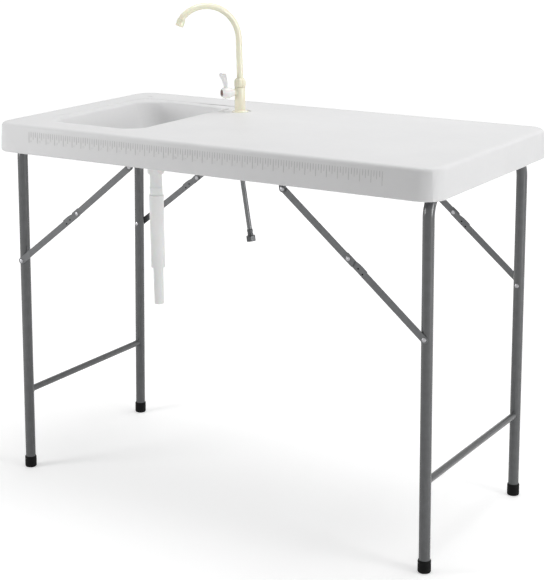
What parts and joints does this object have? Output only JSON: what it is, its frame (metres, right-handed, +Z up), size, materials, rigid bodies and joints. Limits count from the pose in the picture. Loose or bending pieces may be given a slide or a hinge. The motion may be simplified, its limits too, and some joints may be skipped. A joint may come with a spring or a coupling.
{
  "type": "fish cleaning table",
  "caption": "Folding camp table with a moulded sink, a swivelling gooseneck tap, a telescoping drain pipe and two braced tube leg frames that fold flat under the top.",
  "frame": {"origin": "on the floor, under the middle of the table top", "axes": "+X along the table away from the sink, +Y to the rear edge behind the tap, +Z up"},
  "size_m": [1.145, 0.61, 1.1493],
  "materials": {
    "top": "fine-grained moulded plastic",
    "frame_paint": "grey powder coat",
    "link_paint": "grey enamel",
    "rivet": "bright zinc",
    "rubber": "matt black",
    "tap_plastic": "ivory gloss",
    "lever_plastic": "frosted white",
    "cap_plastic": "brown",
    "drain_plastic": "milky white",
    "hose_braid": "woven steel braid",
    "chrome": "polished"
  },
  "bodies": {
    "top": {"table_top": "top", "left_front_strap": "frame_paint", "left_front_bracket": "frame_paint", "left_front_top_rivet": "rivet", "left_rear_strap": "frame_paint", "left_rear_bracket": "frame_paint", "left_rear_top_rivet": "rivet", "right_front_strap": "frame_paint", "right_front_bracket": "frame_paint", "right_front_top_rivet": "rivet", "right_rear_strap": "frame_paint", "right_rear_bracket": "frame_paint", "right_rear_top_rivet": "rivet", "tap_body": "tap_plastic", "swivel_collar": "tap_plastic", "tap_washer": "rubber", "tap_lock_nut": "tap_plastic", "drain_fitting": "drain_plastic", "strainer": "chrome", "drain_nut": "drain_plastic", "drain_coupling": "drain_plastic", "drain_sleeve": "drain_plastic", "hose_tail_nut": "chrome", "supply_hose": "hose_braid", "hose_ferrule": "chrome", "hose_nut": "chrome"},
    "left_frame": {"left_leg_frame": "frame_paint", "left_crossbar": "frame_paint", "left_front_foot": "rubber", "left_rear_foot": "rubber", "left_front_leg_rivet": "rivet", "left_rear_leg_rivet": "rivet"},
    "left_front_lower": {"left_front_lower_link": "link_paint"},
    "left_front_upper": {"left_front_upper_link": "link_paint", "left_front_knuckle_rivet": "rivet"},
    "left_rear_lower": {"left_rear_lower_link": "link_paint"},
    "left_rear_upper": {"left_rear_upper_link": "link_paint", "left_rear_knuckle_rivet": "rivet"},
    "right_frame": {"right_leg_frame": "frame_paint", "right_crossbar": "frame_paint", "right_front_foot": "rubber", "right_rear_foot": "rubber", "right_front_leg_rivet": "rivet", "right_rear_leg_rivet": "rivet"},
    "right_front_lower": {"right_front_lower_link": "link_paint"},
    "right_front_upper": {"right_front_upper_link": "link_paint", "right_front_knuckle_rivet": "rivet"},
    "right_rear_lower": {"right_rear_lower_link": "link_paint"},
    "right_rear_upper": {"right_rear_upper_link": "link_paint", "right_rear_knuckle_rivet": "rivet"},
    "spout": {"spout": "tap_plastic", "aerator": "lever_plastic"},
    "lever": {"lever": "lever_plastic", "lever_cap": "cap_plastic"},
    "drain_pipe": {"drain_pipe": "drain_plastic"}
  },
  "joints": [
    {"name": "left_frame_fold", "type": "hinge", "parent": "top", "child": "left_frame", "pos_m": [-0.542, 0, 0.8445], "axis": [0, -1, 0], "range_deg": [0, 90.85]},
    {"name": "left_front_lower_link_turn", "type": "hinge", "parent": "left_frame", "child": "left_front_lower", "pos_m": [-0.54741, -0.2479, 0.5397], "axis": [0, -1, 0], "range_deg": [-131.6, 0]},
    {"name": "left_front_upper_link_turn", "type": "hinge", "parent": "top", "child": "left_front_upper", "pos_m": [-0.21178, -0.2503, 0.80493], "axis": [0, -1, 0], "range_deg": [0, 149]},
    {"name": "left_rear_lower_link_turn", "type": "hinge", "parent": "left_frame", "child": "left_rear_lower", "pos_m": [-0.54741, 0.2479, 0.5397], "axis": [0, -1, 0], "range_deg": [-131.6, 0]},
    {"name": "left_rear_upper_link_turn", "type": "hinge", "parent": "top", "child": "left_rear_upper", "pos_m": [-0.21178, 0.2503, 0.80493], "axis": [0, -1, 0], "range_deg": [0, 149]},
    {"name": "right_frame_fold", "type": "hinge", "parent": "top", "child": "right_frame", "pos_m": [0.528, 0, 0.826], "axis": [0, 1, 0], "range_deg": [0, 83]},
    {"name": "right_front_lower_link_turn", "type": "hinge", "parent": "right_frame", "child": "right_front_lower", "pos_m": [0.53354, -0.2579, 0.521], "axis": [0, 1, 0], "range_deg": [-129.2, 0]},
    {"name": "right_front_upper_link_turn", "type": "hinge", "parent": "top", "child": "right_front_upper", "pos_m": [0.19759, -0.2603, 0.80094], "axis": [0, 1, 0], "range_deg": [0, 128.7]},
    {"name": "right_rear_lower_link_turn", "type": "hinge", "parent": "right_frame", "child": "right_rear_lower", "pos_m": [0.53354, 0.2579, 0.521], "axis": [0, 1, 0], "range_deg": [-129.2, 0]},
    {"name": "right_rear_upper_link_turn", "type": "hinge", "parent": "top", "child": "right_rear_upper", "pos_m": [0.19759, 0.2603, 0.80094], "axis": [0, 1, 0], "range_deg": [0, 128.7]},
    {"name": "spout_swivel", "type": "hinge", "parent": "top", "child": "spout", "pos_m": [-0.163, 0.137, 0.95], "axis": [0, 0, 1], "continuous": true},
    {"name": "lever_turn", "type": "hinge", "parent": "top", "child": "lever", "pos_m": [-0.18365, 0.10751, 0.9318], "axis": [-0.5736, -0.8192, 0], "range_deg": [0, 90]},
    {"name": "drain_pipe_slide", "type": "slide", "parent": "top", "child": "drain_pipe", "axis": [-0.0122, 0, 0.9999], "range_m": [0, 0.075]}
  ],
  "couplings": [
    {"joint": "left_front_lower_link_turn", "follows": "left_frame_fold", "ratio": -1.4482},
    {"joint": "left_front_upper_link_turn", "follows": "left_frame_fold", "ratio": 1.6393},
    {"joint": "left_rear_lower_link_turn", "follows": "left_frame_fold", "ratio": -1.4482},
    {"joint": "left_rear_upper_link_turn", "follows": "left_frame_fold", "ratio": 1.6393},
    {"joint": "right_front_lower_link_turn", "follows": "right_frame_fold", "ratio": -1.5549},
    {"joint": "right_front_upper_link_turn", "follows": "right_frame_fold", "ratio": 1.5486},
    {"joint": "right_rear_lower_link_turn", "follows": "right_frame_fold", "ratio": -1.5549},
    {"joint": "right_rear_upper_link_turn", "follows": "right_frame_fold", "ratio": 1.5486}
  ]
}
